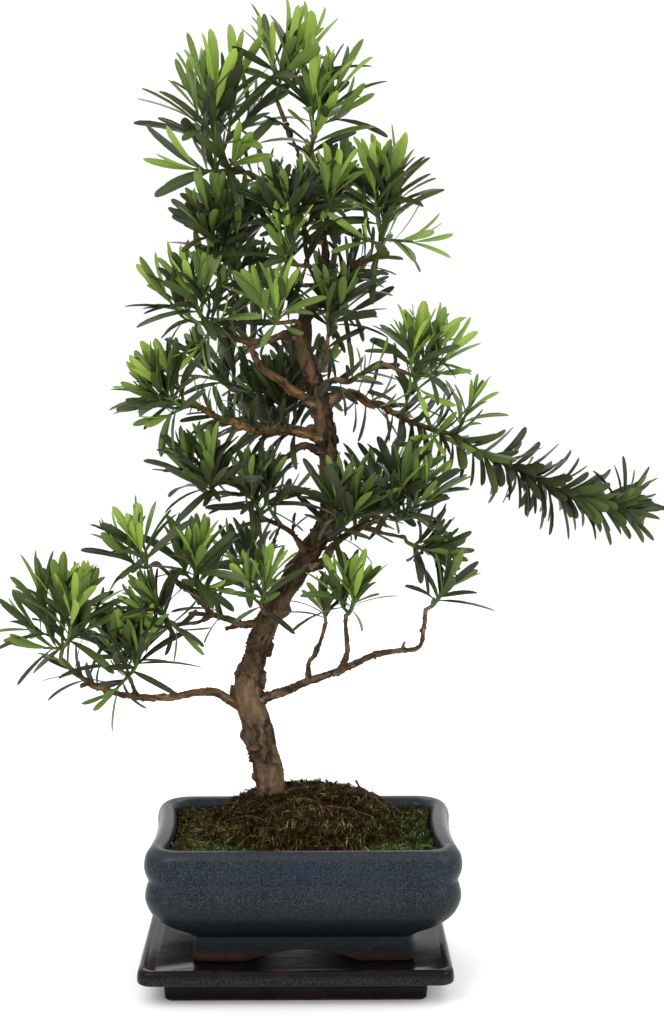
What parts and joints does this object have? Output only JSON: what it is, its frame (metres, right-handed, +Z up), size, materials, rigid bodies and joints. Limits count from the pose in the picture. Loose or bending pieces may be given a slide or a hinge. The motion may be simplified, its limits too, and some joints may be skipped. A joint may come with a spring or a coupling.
{
  "type": "buddhist pine bonsai in a glazed pot",
  "caption": "Small potted conifer with a leaning, tapering trunk, long side boughs and open sprays of strap leaves, in a rounded glazed pot on its saucer.",
  "frame": {"origin": "middle of the saucer's flat underside", "axes": "+Z up; -Y is the front of the pot; the long lone bough reaches to +X and the low left bough to -X"},
  "size_m": [0.4405, 0.179, 0.6449],
  "materials": {
    "saucer_glaze": "gloss dark brown-black glaze",
    "pot_glaze": "semi-gloss speckled dark blue glaze, bare clay under the foot",
    "soil": "rough moist potting mix with moss",
    "bark": "matte flaky bark",
    "leaf": "leathery satin dark green leaf",
    "young_leaf": "satin yellow-green young leaf"
  },
  "bodies": {
    "root": {"saucer": "saucer_glaze", "pot": "pot_glaze", "soil": "soil", "trunk": "bark", "bough_low_left": "bark", "bough_low_left_spur": "bark", "bough_low_right": "bark", "bough_low_right_inner": "bark", "bough_low_right_middle": "bark", "bough_middle_right": "bark", "bough_hanging": "bark", "bough_long_right": "bark", "bough_upper_right": "bark", "bough_orange": "bark", "bough_middle_left": "bark", "bough_inner_left": "bark", "bough_lower_left": "bark", "bough_lower_left_outer": "bark", "bough_lower_left_front": "bark", "bough_fork_left": "bark", "bough_upper_left": "bark", "bough_leader_right": "bark", "bough_top_left": "bark", "leaves_low_left_tip": "leaf", "leaves_low_left_middle": "leaf", "leaves_low_right_tip": "leaf", "leaves_low_right_inner": "leaf", "leaves_low_right_middle": "young_leaf", "leaves_middle_right": "leaf", "leaves_hanging": "leaf", "leaves_middle_right_inner": "leaf", "leaves_upper_right": "young_leaf", "leaves_left": "leaf", "leaves_left_outer": "leaf", "leaves_middle_left": "leaf", "leaves_inner_left": "leaf", "leaves_lower_left": "leaf", "leaves_lower_left_outer": "leaf", "leaves_lower_left_front": "leaf", "leaves_trunk_low_left": "leaf", "leaves_centre_left": "leaf", "leaves_fork_front": "young_leaf", "leaves_leader_front": "young_leaf", "leaves_upper_left": "leaf", "leaves_top_left": "leaf", "leaves_top": "young_leaf", "leaves_top_right": "leaf", "leaves_leader_middle": "young_leaf", "leaves_leader_left": "leaf", "leaves_leader_low": "leaf", "leaves_right_top": "young_leaf", "leaves_trunk_upper_right": "leaf", "leaves_back_top": "leaf", "leaves_back_right": "leaf", "leaves_back_upper_left": "leaf", "leaves_back_middle": "leaf", "leaves_back_middle_right": "leaf", "leaves_back_middle_left": "leaf", "leaves_back_low": "leaf", "leaves_long_right": "leaf"}
  },
  "joints": []
}
